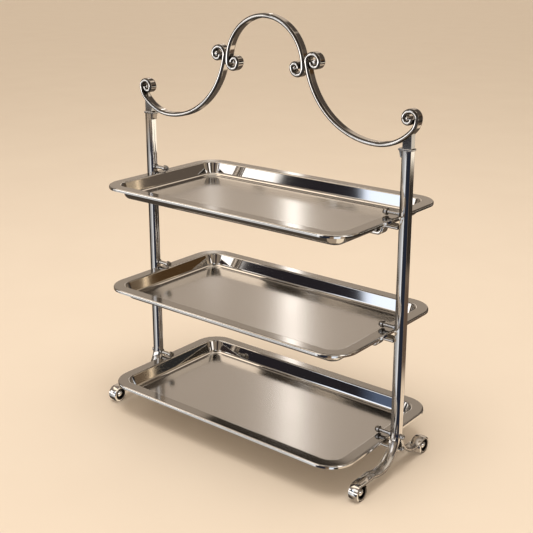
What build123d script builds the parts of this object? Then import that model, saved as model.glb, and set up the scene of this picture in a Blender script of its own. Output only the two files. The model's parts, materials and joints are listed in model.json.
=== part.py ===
from build123d import *
import os
from math import asin, cos, degrees, radians, sin, sqrt, tan

# Three-tier serving stand, millimetres. X runs along the trays, Y from front (-) to back (+), Z is up.
# The origin is on the table, under the middle of the trays.

# Trays
tray_length = 344.0
tray_width = 195.0
tray_depth = 17.0  # rim top to the underside of the floor
tray_corner_radius = 30.0
rim_width = 14.0
rim_lip = 3.5  # depth of the turned-down edge
rim_edge_radius = 1.6
rim_throat_radius = 2.0  # where the rim turns down into the well
sheet = 1.0
wall_angle = 20.0  # lean of the well's walls, degrees
cove_radius = 6.0  # inside, between wall and floor

# Tiers, from the table up
tier_names = ("bottom", "middle", "top")
tier_spacing = 124.0

# Side posts: two straps back to back that part into a front and a rear leg
strap_width = 11.6
strap_thickness = 4.0
strap_crown = 0.4  # bulge of the narrow edges
strap_camber = 0.4  # bulge of the outer broad face
post_gap = 4.0  # tray rim to post
post_rise = 70.4  # top tray's rim to the top of the post
bend_radius = 33.0  # centre line of the leg's bend
leg_rise = 20.0  # degrees past level at the end of the bend
rise_radius = 18.0  # centre line, where the leg turns back to level
front_run = 21.5  # level, from there to the middle of the rolled foot
rear_run = 1.0
foot_radius = 10.0
foot_grind = 0.25  # depth of the flat ground under the roll, on which the stand rests
foot_opening = 65.0  # degrees of the roll left open under the leg
plug_recess = 2.6
button_diameter = 7.6
button_crown = 1.4

# Cradles: straps that carry the trays from post to post
cradle_thickness = 4.0
cradle_crown = 1.0
cradle_drop = 7.5  # rim top to the top of the arm
cradle_bend = 5.0  # centre line
cradle_clearance = 0.8  # beside the well's end wall
cradle_bite = 0.5  # how far each edge of the bottom cradle is let into the fork

# Pins above the rims
pin_rise = 4.3  # rim top to the pin's axis
pin_diameter = 4.4
pin_reach = 20.0  # post to the end of the knob
collar_diameter = 7.4
collar_thickness = 1.4
knob_diameter = 7.6
knob_length = 4.5
knob_neck_diameter = 5.6
knob_recess_diameter = 2.4
knob_recess_depth = 1.0

# Tenons of pins and cradles in the posts, and cap nuts on those that go through
tenon_diameter = 3.4
tenon_length = 9.0
nut_diameter = 5.6
nut_length = 4.6
nut_grip = 3.0
nut_crown = 2.0

# Post caps, necks and the studs inside them
cap_thickness = 2.5
cap_overhang = 0.8
cap_edge_radius = 0.8
lug_reach = 3.6
lug_height = 7.0
lug_width = 7.0
lug_toe = 1.2
neck_height = 10.0  # cap to handle, at the middle of the post
neck_inset = 0.4
neck_edge_radius = 1.0
stud_diameter = 4.0
stud_seat = 14.0  # length in the post
stud_cover = 3.5  # neck left above the stud

# Handle: an arch between two side scrolls, all of one strap
handle_width = 11.5
handle_thickness = 5.0
handle_crown = 2.4
grip_radius = 52.5  # the arch's centre line
grip_scroll_radius = 9.9  # over the strap
upper_scroll_radius = 10.8
end_scroll_radius = 10.0
scroll_gap = 0.8  # between the turns
scroll_half_turns = 2
scroll_drop = 7.5  # arch scrolls below the upper side scrolls
bowl_inner_turn = 80.8  # degrees, from the lowest point to the upper scroll
bowl_outer_radius = 56.0  # centre line, from the lowest point over the post
post_slope = 40.0  # of the handle over the middle of the post, degrees
curl_radius = 18.0  # centre line, from the post to the end scroll
curl_heading = 88.0  # where the end scroll starts, degrees
eye_crown = 0.8

# Fit of pins, studs, plugs and eyes in their seats, on the radius
fit = 0.1

# Edges no further than this from a plane lie on it
touch = 0.01

# Places that follow from the sizes above
post_x = tray_length / 2 + post_gap + strap_width / 2
foot_height = foot_radius - foot_grind
leg_run_height = foot_height + foot_radius - strap_thickness / 2
leg_dip = (bend_radius + rise_radius) * (1 - cos(radians(leg_rise)))
leg_curve = strap_thickness / 2 + bend_radius + (bend_radius + rise_radius) * sin(radians(leg_rise))
bend_height = leg_run_height - leg_dip + bend_radius
fork_radius = bend_radius + strap_thickness / 2
fork_opening = strap_width / 2 - cradle_bite
bottom_arm_height = bend_height - sqrt(fork_radius**2 - (fork_radius - fork_opening) ** 2)
bottom_rim = bottom_arm_height + cradle_thickness / 2 + cradle_drop
rim_heights = [bottom_rim + tier * tier_spacing for tier in range(len(tier_names))]
post_top = rim_heights[-1] + post_rise
cap_top = post_top + cap_thickness
sides = {"left": -1, "right": 1}
ends = {"front": (-1, leg_curve + front_run), "rear": (1, leg_curve + rear_run)}


def strap_section(width, thickness, crown, camber):
    """Bar with bulged narrow edges, its width along local X. The camber bulges the broad face on the -Y side."""
    flat = width / 2 - crown
    half = thickness / 2
    shoulder = camber - half
    middle = (half + shoulder) / 2
    if camber:
        broad = ThreePointArc((flat, shoulder), (0, -half), (-flat, shoulder))
    else:
        broad = Line((flat, shoulder), (-flat, shoulder))
    outline = [
        Line((-flat, half), (flat, half)),
        ThreePointArc((flat, half), (width / 2, middle), (flat, shoulder)),
        broad,
        ThreePointArc((-flat, shoulder), (-width / 2, middle), (-flat, half)),
    ]
    return make_face(outline)


def bend_stations(start, heading, runs):
    """Point, heading and, for a bend, centre of each run. Runs are (length, 0) or (radius, turn)."""
    stations = []
    point = Vector(*start)
    for size, turn in runs:
        along = Vector(cos(radians(heading)), sin(radians(heading)))
        left = Vector(-along.Y, along.X)
        if turn:
            centre = point + left * (size if turn > 0 else -size)
            stations.append((point, along, centre))
            point = centre + (point - centre).rotate(Axis.Z, turn)
        else:
            stations.append((point, along, None))
            point = point + along * size
        heading += turn
    return stations


def bent_strap(start, heading, runs, width, thickness, crown, camber=0):
    """Flat bar bent in the XY plane, its width along Z: straight runs are extruded and bends are revolved."""
    section = strap_section(width, thickness, crown, camber)
    pieces = []
    for (size, turn), (point, along, centre) in zip(runs, bend_stations(start, heading, runs)):
        face = Plane(point, x_dir=(0, 0, 1), z_dir=along) * section
        if turn:
            axis = Axis(centre, (0, 0, 1 if turn > 0 else -1))
            pieces.append(revolve(face, axis, revolution_arc=abs(turn)))
        else:
            pieces.append(extrude(face, amount=size))
    return pieces[0].fuse(*pieces[1:])


def turned(outline):
    """Revolved piece from (distance along +X, radius) points, closed along the axis."""
    first, last = outline[0], outline[-1]
    points = [(first[0], 0), *outline, (last[0], 0)]
    return revolve(make_face(Polyline(*points, close=True)), Axis.X)


def dome(length, radius, crown):
    """Round bar along +X from the origin with a domed far end."""
    ball = (radius**2 + crown**2) / (2 * crown)
    half_angle = asin(radius / ball) / 2
    shoulder = (length - crown, radius)
    middle = (length - ball * (1 - cos(half_angle)), ball * sin(half_angle))
    outline = [
        Line((0, 0), (0, radius)),
        Line((0, radius), shoulder),
        ThreePointArc(shoulder, middle, (length, 0)),
        Line((length, 0), (0, 0)),
    ]
    return revolve(make_face(outline), Axis.X)


# Trays


def well(length, width, radius, depth, cove):
    """Hollow of a tray, or the outside of it: a rounded rectangle with leaning walls and a coved bottom."""
    block = extrude(RectangleRounded(length, width, radius), amount=-depth, taper=wall_angle)
    bottom = block.faces().sort_by(Axis.Z)[0]
    return fillet(bottom.edges(), cove)


def tray():
    """Pressed tray with its rim top at Z = 0."""
    opening_length = tray_length - 2 * rim_width
    opening_width = tray_width - 2 * rim_width
    opening_radius = tray_corner_radius - rim_width
    wall = sheet / cos(radians(wall_angle))
    rim = extrude(RectangleRounded(tray_length, tray_width, tray_corner_radius), amount=-rim_lip)
    rim = fillet(rim.faces().sort_by(Axis.Z)[-1].edges(), rim_edge_radius)
    under_rim = RectangleRounded(
        tray_length - 2 * sheet, tray_width - 2 * sheet, tray_corner_radius - sheet
    )
    rim -= Pos(0, 0, -sheet) * extrude(under_rim, amount=-rim_lip)
    outside = well(
        opening_length + 2 * wall,
        opening_width + 2 * wall,
        opening_radius + wall,
        tray_depth,
        cove_radius + sheet,
    )
    inside = well(opening_length, opening_width, opening_radius, tray_depth - sheet, cove_radius)
    body = rim + outside - inside
    throat = [
        edge
        for edge in body.edges().filter_by_position(Axis.Z, -touch, touch)
        if abs(edge.center().X) <= opening_length / 2 and abs(edge.center().Y) <= opening_width / 2
    ]
    return fillet(throat, rim_throat_radius)


# Pins, cradles and nuts


def pin(tail):
    """Pin along +X from the post's face, with its tail in the post."""
    rod = pin_diameter / 2
    knob_start = pin_reach - knob_length
    body = turned(
        [
            (-tail, tenon_diameter / 2),
            (0, tenon_diameter / 2),
            (0, collar_diameter / 2),
            (collar_thickness, collar_diameter / 2),
            (collar_thickness, rod),
            (knob_start, rod),
            (knob_start, knob_diameter / 2),
            (knob_start + knob_length / 2, knob_diameter / 2),
            (pin_reach, knob_neck_diameter / 2),
        ]
    )
    recess = turned(
        [
            (pin_reach - knob_recess_depth, knob_recess_diameter / 2),
            (pin_reach + knob_recess_depth, knob_recess_diameter / 2),
        ]
    )
    return body - recess


def tenon_hole(depth):
    return turned([(-depth, tenon_diameter / 2 + fit), (strap_crown, tenon_diameter / 2 + fit)])


def nut():
    bore = tenon_diameter / 2 + fit
    return dome(nut_length, nut_diameter / 2, nut_crown) - turned([(-fit, bore), (nut_grip + fit, bore)])


def inward(side, height):
    """Place on the inner face of a post, with +X pointing to the middle of the stand."""
    turn = 180 if side > 0 else 0
    return Pos(side * (post_x - strap_width / 2), 0, height) * Rot(0, 0, turn)


def outward(side, height):
    """Place on the outer face of a post, with +X pointing away from the stand."""
    turn = 0 if side > 0 else 180
    return Pos(side * (post_x + strap_width / 2), 0, height) * Rot(0, 0, turn)


def cradle(rim_height, reach, tenon):
    """Strap bent round the underside of a tray, as long as the reach to each side, with a tenon at each end."""
    lean = radians(wall_angle)
    arm = cradle_drop + cradle_thickness / 2
    floor = tray_depth + cradle_thickness / 2
    wall_top = tray_length / 2 - rim_width + sheet / cos(lean)
    slope = wall_top + (cradle_clearance + cradle_thickness / 2) / cos(lean)
    arm_corner = slope - arm * tan(lean)
    floor_corner = slope - floor * tan(lean)
    turn = 90 - wall_angle
    shoulder = cradle_bend * tan(radians(turn / 2))
    drop = (floor - arm) / cos(lean) - 2 * shoulder
    runs = [
        (floor_corner - shoulder, 0),
        (cradle_bend, turn),
        (drop, 0),
        (cradle_bend, -turn),
        (reach - arm_corner - shoulder, 0),
    ]
    half = Plane.XZ * bent_strap((0, -floor), 0, runs, strap_width, cradle_thickness, cradle_crown)
    half += Pos(reach, 0, -arm) * turned([(-fit, tenon_diameter / 2), (tenon, tenon_diameter / 2)])
    return Pos(0, 0, rim_height) * (half + mirror(half, Plane.YZ))


# Posts, caps and necks


def leg(side, direction, reach):
    """One strap of a post, from its top to its rolled foot, which is ground flat on the table."""
    roll = foot_radius - strap_thickness / 2
    plane = Plane((side * post_x, 0, 0), x_dir=(0, direction, 0), z_dir=(direction, 0, 0))
    runs = [
        (post_top - bend_height, 0),
        (bend_radius, 90 + leg_rise),
        (rise_radius, -leg_rise),
        (reach - leg_curve, 0),
        (roll, foot_opening - 360),
    ]
    top = (strap_thickness / 2, post_top)
    strap = plane * bent_strap(top, -90, runs, strap_width, strap_thickness, strap_crown, strap_camber)
    strap -= Pos(side * post_x, direction * reach, -foot_radius) * Box(*[2 * foot_radius] * 3)
    for tier, rim_height in enumerate(rim_heights):
        depth = strap_width + strap_crown if tier == 0 else tenon_length + fit
        strap -= inward(side, rim_height + pin_rise) * tenon_hole(depth)
        if tier > 0:
            strap -= inward(side, rim_height - cradle_drop - cradle_thickness / 2) * tenon_hole(depth)
    return strap - Pos(side * post_x, 0, post_top - stud_seat) * stud_hole(stud_seat + fit)


def foot_plug(side, direction, reach):
    """Plug in the eye of a rolled foot, with a domed button at each end."""
    eye = foot_radius - strap_thickness - fit
    core = strap_width / 2 - plug_recess
    button = dome(strap_width / 2, button_diameter / 2, button_crown)
    body = turned([(-core, eye), (core, eye)]) + button + Rot(0, 0, 180) * button
    return Pos(side * post_x, direction * reach, foot_height) * body


def stud_hole(length):
    return extrude(Circle(stud_diameter / 2 + fit), amount=length)


def post_cap(side):
    """Plate on the post with a tapered lug against its inner face."""
    inner = strap_width / 2 + lug_reach
    outer = strap_width / 2 + cap_overhang
    depth = 2 * (strap_thickness + cap_overhang)
    plate = Pos((outer - inner) / 2, 0, cap_thickness / 2) * Box(inner + outer, depth, cap_thickness)
    plate = fillet(plate.edges(), cap_edge_radius)
    face = -strap_width / 2
    heel = cap_edge_radius - inner
    lug = Polyline((face, 0), (heel, 0), (face - lug_toe, -lug_height), (face, -lug_height), close=True)
    plate += extrude(Plane.XZ * make_face(lug), amount=lug_width / 2, both=True)
    plate -= stud_hole(cap_thickness)
    turn = 0 if side > 0 else 180
    return Pos(side * post_x, 0, post_top) * Rot(0, 0, turn) * plate


def stud(side):
    top = cap_top + neck_height - stud_cover
    height = top - post_top + stud_seat
    return Pos(side * post_x, 0, post_top - stud_seat) * extrude(Circle(stud_diameter / 2), amount=height)


# Handle


def scroll_turns(outer_radius, sign):
    """Half turns of a scroll, each tighter than the one before."""
    first = outer_radius - handle_thickness / 2
    step = (handle_thickness + scroll_gap) / 2
    return [(first - turn * step, sign * 180) for turn in range(scroll_half_turns)]


upper_turn_radius = upper_scroll_radius - handle_thickness / 2
upper_scroll_x = sqrt((grip_radius + handle_thickness / 2 + upper_scroll_radius) ** 2 - scroll_drop**2)
bowl_low_x = post_x - bowl_outer_radius * sin(radians(post_slope))
bowl_inner_radius = upper_turn_radius + (bowl_low_x - upper_scroll_x) / sin(radians(bowl_inner_turn))
neck_length = strap_width - 2 * neck_inset
bowl_outer_turn = degrees(asin((post_x + neck_length / 2 - bowl_low_x) / bowl_outer_radius))
bowl_rise_at_post = bowl_outer_radius * (1 - cos(radians(post_slope)))
handle_underside = cap_top + neck_height
bowl_low_z = handle_underside + handle_thickness / 2 / cos(radians(post_slope)) - bowl_rise_at_post
upper_scroll_z = (
    bowl_low_z
    + bowl_inner_radius
    - (bowl_inner_radius - upper_turn_radius) * cos(radians(bowl_inner_turn))
)
arch_z = upper_scroll_z - scroll_drop


def neck_block(side):
    """Block from the cap up to the underside of the handle, hollowed to the handle's curve."""
    depth = 2 * (strap_thickness - neck_inset)
    height = bowl_low_z + bowl_outer_radius - cap_top
    block = Box(neck_length, depth, height, align=(Align.CENTER, Align.CENTER, Align.MIN))
    block = Pos(post_x, 0, cap_top) * fillet(block.edges().filter_by(Axis.Z), neck_edge_radius)
    hollow = Cylinder(bowl_outer_radius + handle_thickness / 2, strap_width, rotation=(90, 0, 0))
    block -= Pos(bowl_low_x, 0, bowl_low_z + bowl_outer_radius) * hollow
    block -= Pos(post_x, 0, cap_top) * stud_hole(neck_height - stud_cover + fit)
    return block if side > 0 else mirror(block, Plane.YZ)


def handle_strap(start, heading, runs):
    strap = bent_strap(start, heading, runs, handle_width, handle_thickness, handle_crown)
    return Plane.XZ * strap


def eye(start, heading, runs):
    """Round eye in the middle of the scroll that ends a strap, domed at both ends."""
    centre = bend_stations(start, heading, runs)[-1][2]
    radius = runs[-1][0] - handle_thickness / 2 - fit
    half = dome(handle_width / 2, radius, eye_crown)
    pair = half + Rot(0, 0, 180) * half
    return Pos(centre.X, 0, centre.Y) * Rot(0, 0, 90) * pair


bowl_low = (bowl_low_x, bowl_low_z)
arch_top = (0, arch_z + grip_radius)
bowl_bends = [(bowl_outer_radius, bowl_outer_turn), (curl_radius, curl_heading - bowl_outer_turn)]
bowl_outer = (bowl_low, 0, [*bowl_bends, *scroll_turns(end_scroll_radius, 1)])
bowl_inner = (bowl_low, 180, [(bowl_inner_radius, -bowl_inner_turn), *scroll_turns(upper_scroll_radius, -1)])
arch_half = (arch_top, 0, [(grip_radius, -90), *scroll_turns(grip_scroll_radius, -1)])
right_scroll = handle_strap(*bowl_outer) + handle_strap(*bowl_inner)
right_arch = handle_strap(*arch_half)


# All pieces, by node name
nodes = {}
for side_name, side in sides.items():
    for end_name, (direction, reach) in ends.items():
        nodes[f"{side_name}_{end_name}_leg"] = leg(side, direction, reach)
        nodes[f"{side_name}_{end_name}_foot_plug"] = foot_plug(side, direction, reach)
    nodes[f"{side_name}_post_cap"] = post_cap(side)
    nodes[f"{side_name}_neck_block"] = neck_block(side)
    nodes[f"{side_name}_neck_stud"] = stud(side)

nodes["handle_right_scroll"] = right_scroll
nodes["handle_left_scroll"] = mirror(right_scroll, Plane.YZ)
nodes["handle_arch"] = right_arch + mirror(right_arch, Plane.YZ)
for eye_name, strap_line in (("end", bowl_outer), ("upper", bowl_inner), ("arch", arch_half)):
    right_eye = eye(*strap_line)
    nodes[f"right_{eye_name}_eye"] = right_eye
    nodes[f"left_{eye_name}_eye"] = mirror(right_eye, Plane.YZ)

tray_at_zero = tray()
for tier, (tier_name, rim_height) in enumerate(zip(tier_names, rim_heights)):
    nodes[f"{tier_name}_tray"] = Pos(0, 0, rim_height) * tray_at_zero
    if tier == 0:
        strap = cradle(rim_height, post_x + strap_width / 2, nut_grip)
        for side_name in sides:
            for end_name in ends:
                strap -= nodes[f"{side_name}_{end_name}_leg"]
        nodes[f"{tier_name}_cradle"] = strap
    else:
        nodes[f"{tier_name}_cradle"] = cradle(rim_height, post_x - strap_width / 2, tenon_length)
    for side_name, side in sides.items():
        tail = strap_width + nut_grip if tier == 0 else tenon_length
        nodes[f"{side_name}_{tier_name}_pin"] = inward(side, rim_height + pin_rise) * pin(tail)

arm_height = bottom_rim - cradle_drop - cradle_thickness / 2
nodes["bottom_pin_nuts"] = Compound(
    [outward(side, bottom_rim + pin_rise) * nut() for side in sides.values()]
)
nodes["bottom_cradle_nuts"] = Compound(
    [outward(side, arm_height) * nut() for side in sides.values()]
)

os.makedirs("parts", exist_ok=True)
for name, shape in nodes.items():
    export_step(shape, f"parts/{name}.step")
    box = shape.bounding_box()
    print(f"{name}: {len(shape.solids())} solid(s), {shape.volume:.0f} mm3, top {box.max.Z:.1f}")
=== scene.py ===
# %% [markdown]
# # A three-tier serving stand in polished steel
# The stand is bare metal: bent strap posts, pressed trays and a scrolled handle. All its shapes are in
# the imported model, so this lesson is about finishes and light. Polished steel has almost no colour of its
# own. It looks right only when there is something for it to mirror, so the surroundings get as much care
# as the metal.

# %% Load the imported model
import bpy
import json
from math import atan, degrees, radians
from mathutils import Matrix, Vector


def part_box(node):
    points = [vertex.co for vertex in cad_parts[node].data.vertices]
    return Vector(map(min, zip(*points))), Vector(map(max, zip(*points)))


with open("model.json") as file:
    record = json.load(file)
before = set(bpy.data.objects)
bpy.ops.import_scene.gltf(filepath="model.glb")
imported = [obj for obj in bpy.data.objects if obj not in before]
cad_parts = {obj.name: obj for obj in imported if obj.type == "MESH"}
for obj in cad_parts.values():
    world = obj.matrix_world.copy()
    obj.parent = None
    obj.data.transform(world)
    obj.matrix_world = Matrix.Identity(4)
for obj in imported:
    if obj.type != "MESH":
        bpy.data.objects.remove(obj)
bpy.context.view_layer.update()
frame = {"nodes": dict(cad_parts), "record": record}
nodes = frame["nodes"]

# %% [markdown]
# ## A short way to write shader maths
# A finish is a small graph of nodes. Wiring a graph by hand is long and hard to read, so a signal is
# wrapped in a class that knows plus, minus, times and divided by. The expression `1 - mask * 0.5` then
# adds the Math nodes that it needs. Every other node comes from one method: its type, its settings, and
# what goes into its sockets.


# %% Signals
class Signal:
    """An output socket that takes part in Python expressions."""

    def __init__(self, graph, socket):
        self.graph = graph
        self.socket = socket

    def math(self, operation, first, second):
        return self.graph.node("ShaderNodeMath", {"operation": operation}, {0: first, 1: second})

    def __add__(self, other):
        return self.math("ADD", self, other)

    def __radd__(self, other):
        return self.math("ADD", other, self)

    def __sub__(self, other):
        return self.math("SUBTRACT", self, other)

    def __rsub__(self, other):
        return self.math("SUBTRACT", other, self)

    def __mul__(self, other):
        return self.math("MULTIPLY", self, other)

    def __rmul__(self, other):
        return self.math("MULTIPLY", other, self)

    def __truediv__(self, other):
        return self.math("DIVIDE", self, other)

    def __rtruediv__(self, other):
        return self.math("DIVIDE", other, self)


print("signals ready")

# %% [markdown]
# ## One method for every node
# The graph adds a node, sets it up and links it in one call. A few shapes of maths come back in every
# finish, such as a smooth step, a mix of two colours or the distance from a middle, so they get short
# names of their own.


# %% Graphs
class Graph:
    """A node tree with one method that adds any node."""

    def __init__(self, tree):
        self.tree = tree
        self.tree.nodes.clear()

    def node(self, kind, settings=None, sockets=None, out=0):
        """Add a node, set it up, fill or link its sockets, and hand on one output."""
        made = self.tree.nodes.new(kind)
        for name, value in (settings or {}).items():
            setattr(made, name, value)
        for name, value in (sockets or {}).items():
            if isinstance(value, Signal):
                self.tree.links.new(value.socket, made.inputs[name])
            else:
                made.inputs[name].default_value = value
        return Signal(self, made.outputs[out]) if made.outputs else None

    def step(self, value, low, high, start=0.0, end=1.0):
        """Smooth step from start at low to end at high."""
        sockets = {"Value": value, "From Min": low, "From Max": high, "To Min": start, "To Max": end}
        return self.node("ShaderNodeMapRange", {"interpolation_type": "SMOOTHSTEP"}, sockets)

    def fall(self, value, low, high):
        """Smooth step down, from one at low to nothing at high."""
        return self.step(value, low, high, 1.0, 0.0)

    def mix(self, factor, first, second):
        """Colour between two colours."""
        sockets = {0: factor, 6: first, 7: second}
        return self.node("ShaderNodeMix", {"data_type": "RGBA"}, sockets, out=2)

    def axis(self, vector, index):
        """One coordinate of a vector."""
        return self.node("ShaderNodeSeparateXYZ", None, {0: vector}, out=index)

    def size(self, value):
        """A value without its sign."""
        return self.node("ShaderNodeMath", {"operation": "ABSOLUTE"}, {0: value})

    def distance(self, across, up):
        """Distance from a middle, out of two offsets."""
        return self.node("ShaderNodeMath", {"operation": "SQRT"}, {0: across * across + up * up})

    def noise(self, place, scale, detail):
        return self.node("ShaderNodeTexNoise", None, {"Vector": place, "Scale": scale, "Detail": detail})

    def stretched(self, place, scale):
        """Coordinates scaled by axis, which draws a noise out into lines."""
        return self.node("ShaderNodeVectorMath", {"operation": "MULTIPLY"}, {0: place, 1: scale})

    def bump(self, height):
        """Normal of a surface with this height, in metres."""
        return self.node("ShaderNodeBump", None, {"Strength": 1.0, "Distance": 1.0, "Height": height})


def new_finish(name):
    """An empty material and its graph."""
    material = bpy.data.materials.new(name)
    material.use_nodes = True
    return material, Graph(material.node_tree)


def shade(graph, sockets):
    """The surface shader and the material's output."""
    surface = graph.node("ShaderNodeBsdfPrincipled", None, sockets)
    graph.node("ShaderNodeOutputMaterial", None, {"Surface": surface})


X, Y, Z = 0, 1, 2
print("graphs ready")

# %% [markdown]
# ## Polished steel
# The posts, handle, pins and plugs are polished and plated. Up close such a surface isn't one even
# mirror: the buffing wheel leaves fine lines, the plating ripples a little, and hands leave a thin haze.
# A clean mirror material would look like a computer picture, so each of these is a faint noise. The haze
# changes roughness and colour, and the lines and the ripple go through a bump. Some pieces also have
# places with painted shade, and swollen or softer places. Those come in as functions, which the next two
# steps write.

# %% Write the polished finish
HAZE_SCALE = 38.0
HAZE_START, HAZE_FULL = 0.42, 0.72
PLATING_SCALE = 55.0
PLATING_HEIGHT = 0.00002
LINE_HEIGHT = 0.000002
UNEVEN = 0.03
SOFT_ROUGHNESS = 0.15
# painted shade: a near-black tone and extra roughness laid where a mask below asks for it
PAINTED_SHADE_ROUGHNESS = 0.3
PAINTED_SHADE_TONE = (0.045, 0.04, 0.036, 1.0)


def polished(name, tint, haze_tint, roughness, grain, painted_shade_mask=None, swell=None, soft=None):
    """Buffed and plated steel. The grain vector draws the buffing lines out along one axis."""
    material, graph = new_finish(name)
    place = graph.node("ShaderNodeTexCoord", out="Object")
    haze = graph.step(graph.noise(place, HAZE_SCALE, 3.0), HAZE_START, HAZE_FULL)
    buffing = graph.noise(graph.stretched(place, grain), 1.0, 3.0)
    plating = graph.noise(place, PLATING_SCALE, 1.0)
    rough = roughness + haze * UNEVEN + buffing * UNEVEN
    height = plating * PLATING_HEIGHT + buffing * LINE_HEIGHT
    colour = graph.mix(haze, (*tint, 1.0), (*haze_tint, 1.0))
    if swell:
        height = height + swell(graph)
    if soft:
        rough = rough + soft(graph) * SOFT_ROUGHNESS
    # painted shade: the mask darkens the colour towards the near-black tone
    if painted_shade_mask:
        painted_shade = painted_shade_mask(graph)
        colour = graph.mix(painted_shade, colour, PAINTED_SHADE_TONE)
        rough = rough + painted_shade * PAINTED_SHADE_ROUGHNESS
    normal = graph.bump(height)
    shade(graph, {"Base Color": colour, "Metallic": 1.0, "Roughness": rough, "Normal": normal})
    return material


print("polished finish ready")

# %% [markdown]
# ## Painted shade in the gaps, on the shoulders and round the plugs
# The gaps between the turns of a scroll, the shoulders beside the rounded edges of the handle's bar, and
# the sunk metal round the plugs are painted dark. In the gaps and round the plugs this is painted shade,
# and on the shoulders it is a painted dark reflection. Each is a mask that follows from the shape: how
# closed in the surface is, which way it faces, or how far it lies from the middle of a plug.

# %% Masks of the painted shade
GAP = 0.004
CLOSED, OPEN = 0.45, 0.85
# facing range and strength of the painted dark reflection on the handle's shoulders
SHOULDER_STARTS = (0.20, 0.40)
SHOULDER_ENDS = (0.84, 0.95)
SHOULDER_PAINTED_REFLECTION = 0.95
BUTTON_EDGE = (0.315, 0.335)
SEAT_EDGE = (0.0070, 0.0078)


def painted_crevice_shade(graph):
    """Mask of painted shade in the narrow gaps between the turns of one bar, darker where the surface is
    closed in.
    """
    settings = {"samples": 12, "only_local": True}
    open_share = graph.node("ShaderNodeAmbientOcclusion", settings, {"Distance": GAP}, out="AO")
    return graph.fall(open_share, CLOSED, OPEN)


def painted_shoulder_reflection_and_crevice_shade(graph):
    """Mask of a painted dark reflection on the shoulders beside the rounded edges of the handle's bar, and
    of painted shade in its crevices.
    """
    facing = graph.node("ShaderNodeTexCoord", out="Normal")
    towards_edge = graph.size(graph.axis(facing, Y))
    beside = graph.step(towards_edge, *SHOULDER_STARTS) * graph.fall(towards_edge, *SHOULDER_ENDS)
    return 1 - (1 - painted_crevice_shade(graph)) * (1 - beside * SHOULDER_PAINTED_REFLECTION)


def painted_plug_seat_shade(graph):
    """Mask of painted shade in the sunk ring round a plug's button. The plug's own box runs from nought to
    one.
    """
    place = graph.node("ShaderNodeTexCoord", out="Generated")
    across, up = (graph.axis(place, index) - 0.5 for index in (Y, Z))
    return graph.step(graph.distance(across, up), *BUTTON_EDGE)


def painted_shade_round_plugs(graph):
    """Mask of painted shade round the plugs, on the ends of the rolled feet."""
    place = graph.node("ShaderNodeTexCoord", out="Object")
    y, z = (graph.axis(place, index) for index in (Y, Z))
    masks = []
    for end in ("front", "rear"):
        low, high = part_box(f"right_{end}_foot_plug")
        middle = (low + high) / 2
        masks.append(graph.fall(graph.distance(y - middle.y, z - middle.z), *SEAT_EDGE))
    return masks[0] + masks[1]


print("stained places ready")

# %% [markdown]
# ## Straps and bends
# The posts are rolled straps. Rolling rounds their broad faces a little more than the model does, and a
# bump adds that swell. It runs out towards the feet, where the strap is wound up. The bends between fork
# and feet are polished by hand after bending, which leaves a softer shine than the wheel does.

# %% Swell and bends of the straps
SWELL = 0.001
SWELL_FRONT, SWELL_REAR = (-0.066, -0.056), (0.036, 0.046)
BEND_FRONT, BEND_REAR = (-0.062, -0.054), (0.034, 0.042)
BEND_TOP = (0.030, 0.048)


def strap_swell(graph):
    """Height of a strap's broad face, rounded by rolling."""
    low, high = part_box("right_front_leg")
    place = graph.node("ShaderNodeTexCoord", out="Object")
    x, y = (graph.axis(place, index) for index in (X, Y))
    across = (graph.size(x) - (low.x + high.x) / 2) / ((high.x - low.x) / 2)
    return across * across * -SWELL * graph.step(y, *SWELL_FRONT) * graph.fall(y, *SWELL_REAR)


def hand_polished_bend(graph):
    """Mask of the bends between fork and rolled feet."""
    place = graph.node("ShaderNodeTexCoord", out="Object")
    y, z = (graph.axis(place, index) for index in (Y, Z))
    return graph.fall(z, *BEND_TOP) * graph.step(y, *BEND_FRONT) * graph.fall(y, *BEND_REAR)


print("swell", SWELL, "m")

# %% [markdown]
# ## One finish for each kind of piece
# All pieces are steel, but a turned pin is darker than a buffed strap, and lines run along a post and
# across the handle's bar. One table holds the tones, and a second one says which finish has which special
# places.

# %% Make the polished finishes
ALONG_Z = (2600.0, 2600.0, 30.0)
ALONG_X = (30.0, 2600.0, 2600.0)
ALONG_Y = (900.0, 60.0, 900.0)
STEELS = {
    # name of the finish, its tint, the tint of its haze, roughness, and the run of the buffing lines
    "post_steel": ("polished_post", (0.82, 0.81, 0.80), (0.76, 0.745, 0.73), 0.035, ALONG_Z),
    "handle_steel": ("polished_handle", (0.74, 0.73, 0.72), (0.68, 0.67, 0.655), 0.015, ALONG_Y),
    "cap_steel": ("polished_cap", (0.42, 0.412, 0.405), (0.36, 0.35, 0.34), 0.045, ALONG_Z),
    "plug_steel": ("polished_plug", (0.84, 0.83, 0.82), (0.76, 0.75, 0.74), 0.05, ALONG_X),
    "eye_steel": ("polished_eye", (0.84, 0.83, 0.82), (0.76, 0.75, 0.74), 0.05, ALONG_Y),
    "cradle_steel": ("polished_cradle", (0.78, 0.77, 0.76), (0.70, 0.69, 0.67), 0.06, ALONG_X),
    "pin_steel": ("turned_pin", (0.50, 0.49, 0.48), (0.42, 0.41, 0.40), 0.05, ALONG_X),
    "nut_steel": ("turned_nut", (0.46, 0.45, 0.44), (0.38, 0.37, 0.36), 0.08, ALONG_X),
    "stud_steel": ("plain_stud", (0.55, 0.55, 0.55), (0.45, 0.45, 0.45), 0.3, ALONG_Z),
}
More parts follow.
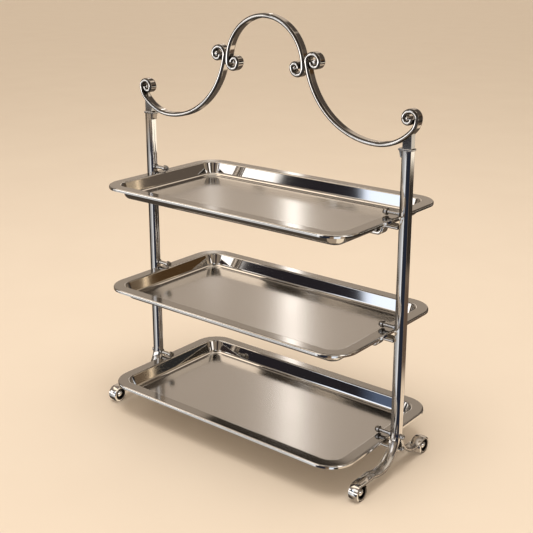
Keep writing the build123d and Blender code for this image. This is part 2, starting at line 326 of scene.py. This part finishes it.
# masks that darken a finish paint shade into its colour; the others change its bump and roughness
SPECIAL_PLACES = {
    "post_steel": {"painted_shade_mask": painted_shade_round_plugs, "swell": strap_swell, "soft": hand_polished_bend},
    "handle_steel": {"painted_shade_mask": painted_shoulder_reflection_and_crevice_shade},
    "plug_steel": {"painted_shade_mask": painted_plug_seat_shade},
}
finishes = {steel: polished(*tones, **SPECIAL_PLACES.get(steel, {})) for steel, tones in STEELS.items()}
print("polished finishes", sorted(finishes))

# %% [markdown]
# ## Pressed trays
# One sheet of steel carries three finishes. The floor and the flat of the rim are brushed to a satin
# along the tray, the leaning walls stay mirror bright from the press, and the turned-down lip is polished
# again. The zones follow from the shape itself: how far the surface faces up, and how high it lies.
# Painting them by hand would need a map, so the zones are masks made from the tray's own normal and
# height.

# %% Make the tray finishes
FACES_UP = (0.972, 0.992)
UNDER_RIM, AT_RIM = 0.0012, 0.0006
BRUSHED_ALONG_X = (14.0, 1500.0, 1500.0)
CLOUD_SCALE, RIPPLE_SCALE = 16.0, 42.0
MIRROR_ROUGHNESS, SATIN_ROUGHNESS = 0.04, 0.095
BRUSHED_UNEVEN, CLOUD_UNEVEN = 0.03, 0.02
SATIN_OF_RIM = 0.5
RIPPLE_HEIGHT, SCRATCH_HEIGHT = 0.000012, 0.000003
WALL_TONE, RIM_TONE = (0.80, 0.79, 0.775, 1.0), (0.42, 0.412, 0.405, 1.0)
FLOOR_TONE, LINE_TONE = (0.54, 0.537, 0.535, 1.0), (0.585, 0.58, 0.578, 1.0)


def pressed_tray(name, node):
    """Satin floor and rim, polished walls and lip. Heights are measured from this tray's own rim."""
    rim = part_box(node)[1].z
    material, graph = new_finish(name)
    place = graph.node("ShaderNodeTexCoord", out="Object")
    facing = graph.node("ShaderNodeTexCoord", out="Normal")
    flat = graph.step(graph.axis(facing, Z), *FACES_UP)
    below_rim = graph.fall(graph.axis(place, Z), rim - UNDER_RIM, rim - AT_RIM)
    on_floor = flat * below_rim
    on_rim = flat * (1 - below_rim)
    brushing = graph.noise(graph.stretched(place, BRUSHED_ALONG_X), 1.0, 4.0)
    clouds = graph.noise(place, CLOUD_SCALE, 2.0)
    satin = SATIN_ROUGHNESS + brushing * BRUSHED_UNEVEN + clouds * CLOUD_UNEVEN
    rough = MIRROR_ROUGHNESS + on_floor * satin + on_rim * satin * SATIN_OF_RIM
    wall_or_rim = graph.mix(on_rim, WALL_TONE, RIM_TONE)
    colour = graph.mix(on_floor, wall_or_rim, graph.mix(brushing, FLOOR_TONE, LINE_TONE))
    ripple = graph.noise(place, RIPPLE_SCALE, 1.0) * RIPPLE_HEIGHT * (1 - flat)
    normal = graph.bump(ripple + brushing * SCRATCH_HEIGHT * flat)
    shade(graph, {"Base Color": colour, "Metallic": 1.0, "Roughness": rough, "Normal": normal})
    return material


TIERS = ("bottom", "middle", "top")
tray_finishes = {f"{tier}_tray": pressed_tray(f"pressed_{tier}_tray", f"{tier}_tray") for tier in TIERS}
print("tray finishes", sorted(tray_finishes))

# %% [markdown]
# ## Dress the nodes
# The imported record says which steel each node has. Assigning to the slots that the mesh already has keeps
# the shape as it is and changes only the surface.

# %% Assign the finishes
slot_of = {part["node"]: part["material_slot"] for part in frame["record"]["subparts"]}
for name, node in nodes.items():
    finish = tray_finishes.get(name) or finishes[slot_of[name]]
    for slot in node.material_slots:
        slot.material = finish
print("dressed", len(nodes), "nodes")

# %% [markdown]
# ## Floor
# A plain pale floor carries the stand. It is a large square, so that it fills the view behind the stand
# from any side. A trace of noise in its colour keeps it from looking like paper. The metal doesn't mirror
# this floor: the table of a studio is small, and past its edge the metal mirrors the room, which comes in
# the next step.

# %% Make the floor
FLOOR_HALF = 30.0
SQUARE = ((-1, -1), (1, -1), (1, 1), (-1, 1))
SPECKLE_SCALE = 6.0
SPECKLE_TONES = (0.84, 0.735, 0.625, 1.0), (0.88, 0.78, 0.665, 1.0)
floor_mesh = bpy.data.meshes.new("floor")
floor_mesh.from_pydata([(FLOOR_HALF * x, FLOOR_HALF * y, 0) for x, y in SQUARE], [], [(0, 1, 2, 3)])
floor = bpy.data.objects.new("floor", floor_mesh)
floor.visible_glossy = False
bpy.context.scene.collection.objects.link(floor)
floor_material, graph = new_finish("pale_floor")
speckle = graph.noise(graph.node("ShaderNodeTexCoord", out="Object"), SPECKLE_SCALE, 3.0)
floor_colour = graph.mix(speckle, *SPECKLE_TONES)
shade(graph, {"Base Color": floor_colour, "Roughness": 0.55, "Specular IOR Level": 0.25})
floor_mesh.materials.append(floor_material)
print("floor", 2 * FLOOR_HALF, "m square")

# %% [markdown]
# ## Surroundings
# Polished steel shows what stands round it, and little else. In a warm, even room it turns into plain
# beige, so silverware is photographed between white and black cards. Here the cards are masks in the
# world's own directions: each has a bearing from the back of the stand (+Y) towards its right (+X), a
# width, and a lowest and highest angle above the horizon. Cards below the horizon show in the upright
# posts, which the camera looks down on. Only mirrored light meets the cards. The camera and the floor see
# one plain warm tone, so the light itself stays soft.

# %% Mask of a card
world = bpy.data.worlds.new("studio")
bpy.context.scene.world = world
world.use_nodes = True
graph = Graph(world.node_tree)
direction = graph.node("ShaderNodeTexCoord", out="Generated")
x, y, z = (graph.axis(direction, index) for index in (X, Y, Z))
bearing = graph.node("ShaderNodeMath", {"operation": "ARCTAN2"}, {0: x, 1: y})
height = graph.node("ShaderNodeMath", {"operation": "ARCSINE"}, {0: z})
HALF_TURN = radians(180)


def edge(middle, soft):
    """Where a soft edge starts and ends, in radians."""
    return radians(middle - soft / 2), radians(middle + soft / 2)


def card(centre, half_width, soft, low, high, lean=0.0, soft_height=2.0):
    """Mask of an upright card, in degrees. A card that leans shifts its bearing with the height."""
    turned = bearing - height * lean - radians(centre)
    wrap = {0: turned, 1: HALF_TURN, 2: -HALF_TURN}
    off = graph.size(graph.node("ShaderNodeMath", {"operation": "WRAP"}, wrap))
    above = graph.step(height, *edge(low, soft_height))
    under = graph.fall(height, *edge(high, soft_height))
    return graph.fall(off, *edge(half_width, soft)) * above * under


print("cards run from", round(degrees(-HALF_TURN)), "to", round(degrees(HALF_TURN)), "degrees")

# %% [markdown]
# ## Cards and what shows them
# Every piece of the stand looks in its own direction, so each group of cards is there for one kind of
# surface. A later card covers an earlier one. Below the horizon lies the table, above it the wall, and
# the ceiling is over all.

# %% Make the surroundings
TABLE, WALL, CEILING = (0.42, 0.32, 0.225, 1.0), (0.26, 0.205, 0.155, 1.0), (0.66, 0.57, 0.47, 1.0)
SEEN_TONE = (0.80, 0.69, 0.56, 1.0)
room = graph.mix(graph.step(height, radians(-6), radians(0)), TABLE, WALL)
room = graph.mix(graph.step(height, radians(50), radians(66)), room, CEILING)
LOW_CARDS = (
    # colour, then bearing, half width, soft edge, lowest and highest angle, all in degrees
    # a sixth value is the lean with the height, and a seventh the softness of the upper and lower edge
    # fronts of the posts, from one edge to the other
    ((0.22, 0.16, 0.11), (-84, 12, 6, -36, -10.5)),
    ((0.03, 0.028, 0.03), (-102, 9, 4, -36, -10.5)),
    ((0.38, 0.375, 0.37), (-121, 9, 6, -36, -10.5)),
    ((0.62, 0.61, 0.60), (-138, 8, 5, -36, -10.5)),
    ((0.95, 0.97, 1.0), (-150, 5.5, 5, -36, -10.5)),
    ((0.05, 0.05, 0.06), (-161, 5, 3, -36, -10.5)),
    ((0.02, 0.025, 0.04), (179, 16, 4, -36, -10.5)),
    ((0.25, 0.17, 0.11), (157, 6, 3, -36, -10.5)),
    ((0.95, 1.0, 1.08), (136, 12, 3, -50, 0)),
    # sides of the posts, lowest first and then from the top down
    ((1.0, 0.82, 0.60), (66, 58, 6, -70, -30.3)),
    ((1.35, 1.20, 0.98), (50, 56, 6, -12.6, -3)),
    ((0.035, 0.028, 0.022), (50, 56, 6, -19, -12.6)),
    ((0.14, 0.09, 0.06), (50, 56, 6, -25, -19)),
    ((0.95, 0.74, 0.53), (50, 56, 6, -30.3, -25)),
    # dark places between them
    ((0.05, 0.04, 0.03), (121, 9, 4, -50, -24)),
    ((0.07, 0.054, 0.042), (8, 32, 4, -9, 4)),
    ((0.10, 0.075, 0.055), (-8, 18, 4, -36, -9)),
    ((0.12, 0.09, 0.065), (8, 32, 4, -70, -30.3)),
    ((0.07, 0.055, 0.042), (-95, 36, 6, -62, -36)),
    ((0.05, 0.04, 0.03), (-44, 12, 5, -36, 0)),
    # level with the handle
    ((0.035, 0.035, 0.04), (-134, 10, 4, -9.3, -8, 0.0, 0.5)),
    ((0.035, 0.035, 0.04), (-150, 6.5, 3, -11.8, -9.6, 0.0, 0.5)),
    ((2.6, 2.5, 2.4), (-140, 31, 6, -8, 1.5)),
    ((0.04, 0.038, 0.04), (-128, 21, 4, 1.5, 6.5)),
    ((0.02, 0.022, 0.03), (159, 30, 6, -10, 6)),
    ((1.6, 1.5, 1.4), (104, 25, 6, -10, 6)),
    ((0.05, 0.04, 0.03), (-75, 34, 5, -10, 3)),
)
WALL_CARDS = (
    # broad faces of the handle and rounded edges of the rims
    ((0.09, 0.07, 0.055), (8, 34, 8, 2, 50)),
    ((0.26, 0.215, 0.175), (-95, 44, 6, 16, 64)),
    # floors and rims of the trays, then the floors beside the walls
    ((0.60, 0.49, 0.385), (-38, 22, 10, 3, 36)),
    ((0.85, 0.70, 0.55), (-66, 6.5, 3, 38, 50, -1.4)),
    ((1.6, 1.32, 1.03), (-40, 20, 6, 42, 70, -1.4)),
    ((0.80, 0.655, 0.51), (22, 12, 4, 36, 54)),
    # back walls of the trays
    ((1.25, 1.18, 1.1), (-155, 12, 6, 20, 44)),
    ((1.7, 1.6, 1.5), (-133, 8.5, 1.5, 6.5, 22)),
    ((0.02, 0.017, 0.02), (-146.6, 5.9, 0.8, 5, 24)),
    ((1.15, 1.25, 1.45), (-158.5, 3.5, 1.0, 11, 24, 0.46)),
    ((0.10, 0.13, 0.20), (-158.5, 3.5, 1.5, 5, 11, 0.46)),
    ((0.05, 0.04, 0.03), (-108, 9, 5, 6, 20)),
    # left walls of the trays
    ((0.40, 0.31, 0.21), (60, 6.3, 0.4, 13.3, 24, -0.47)),
    ((0.14, 0.095, 0.058), (60, 6.3, 0.4, -4, 13.3, -0.47)),
    ((0.12, 0.092, 0.07), (43, 10.7, 0.4, 13.3, 19, -0.47)),
    ((0.075, 0.040, 0.016), (43, 10.7, 0.4, 8, 13.3, -0.47)),
    ((0.026, 0.025, 0.024), (43, 10.7, 0.4, -8, 8, -0.47)),
    ((1.7, 1.3, 0.85), (53.75, 0.10, 0.12, 0, 24, -0.47)),
    # inner corners of the trays
    ((0.04, 0.03, 0.025), (88, 10, 6, 6, 60)),
    ((1.6, 1.5, 1.4), (104, 8, 4, 6, 50)),
    ((0.03, 0.025, 0.02), (121, 8, 4, 20, 60)),
    ((0.04, 0.03, 0.03), (160, 9, 5, 6, 60)),
)
LAMP_CARDS = (
    # the bright streak on each tray's floor, from the top tray down, and a faint one beside it
    ((2.9, 2.7, 2.45), (-37.25, 0.48, 0.5, 12, 18)),
    ((3.7, 3.4, 3.1), (-37.25, 0.48, 0.5, 18, 24)),
    ((3.5, 3.2, 2.9), (-37.25, 0.48, 0.5, 24, 33)),
    ((1.5, 1.35, 1.2), (-42.3, 0.3, 0.4, 12, 20)),
)
for tone, where in LOW_CARDS + WALL_CARDS + LAMP_CARDS:
    room = graph.mix(card(*where), room, (*tone, 1.0))
mirrored = graph.node("ShaderNodeLightPath", out="Is Glossy Ray")
shown = graph.mix(mirrored, SEEN_TONE, room)
sky = graph.node("ShaderNodeBackground", None, {"Color": shown, "Strength": 1.0})
graph.node("ShaderNodeOutputWorld", None, {"Surface": sky})
print("cards", len(LOW_CARDS), "low,", len(WALL_CARDS), "wall and", len(LAMP_CARDS), "lamp")

# %% [markdown]
# ## Light
# One large soft lamp hangs high over the stand, so that its shadows stay soft and close to the feet. The
# surroundings fill the rest. The metal doesn't mirror the lamp, because its square outline would show on
# every bend.

# %% Make the lamp
LAMP_PLACE = Vector((0.2, -0.35, 2.4))
LAMP_SIDE = 1.3
lamp_data = bpy.data.lights.new("top_lamp", "AREA")
lamp_data.shape = "RECTANGLE"
lamp_data.size = LAMP_SIDE
lamp_data.size_y = LAMP_SIDE
lamp_data.energy = 26.0
lamp_data.color = (1.0, 0.95, 0.88)
lamp = bpy.data.objects.new("top_lamp", lamp_data)
lamp.location = LAMP_PLACE
lamp.rotation_euler = (-LAMP_PLACE).to_track_quat("-Z", "Y").to_euler()
lamp.visible_camera = False
lamp.visible_glossy = False
bpy.context.scene.collection.objects.link(lamp)
print("lamp", lamp.name, lamp_data.energy, "watts")

# %% [markdown]
# ## Camera
# The camera stands in front of the right post and looks down a little. Its place comes from a fit of the
# stand's own edges, and the lens is shifted down so that upright posts stay nearly upright in the
# picture.

# %% Place the camera
PICTURE = 533
FOCAL_PIXELS = 949.6
AXIS_ROW = 224.0
SENSOR = 36.0
LOOKS_DOWN, TURNED = 16.08, 38.91
camera_data = bpy.data.cameras.new("camera")
camera_data.sensor_width = SENSOR
camera_data.lens = SENSOR * FOCAL_PIXELS / PICTURE
camera_data.shift_y = -(PICTURE / 2 - AXIS_ROW) / PICTURE
camera = bpy.data.objects.new("camera", camera_data)
camera.location = (0.6541, -0.8094, 0.5485)
camera.rotation_euler = (radians(90 - LOOKS_DOWN), 0.0, radians(TURNED))
bpy.context.scene.collection.objects.link(camera)
bpy.context.scene.camera = camera
view_angle = degrees(2 * atan(SENSOR / 2 / camera_data.lens))
print("lens", round(camera_data.lens, 2), "mm, view", round(view_angle, 1), "degrees")

# %% [markdown]
# ## Colours of the picture
# The standard view shows tones as they are. A view made for film would grey the highlights, and polished
# steel lives from the contrast between its highlights and its dark places.

# %% Set the view
view = bpy.context.scene.view_settings
view.view_transform = "Standard"
view.look = "None"
view.exposure = 0.0
print("view", view.view_transform)
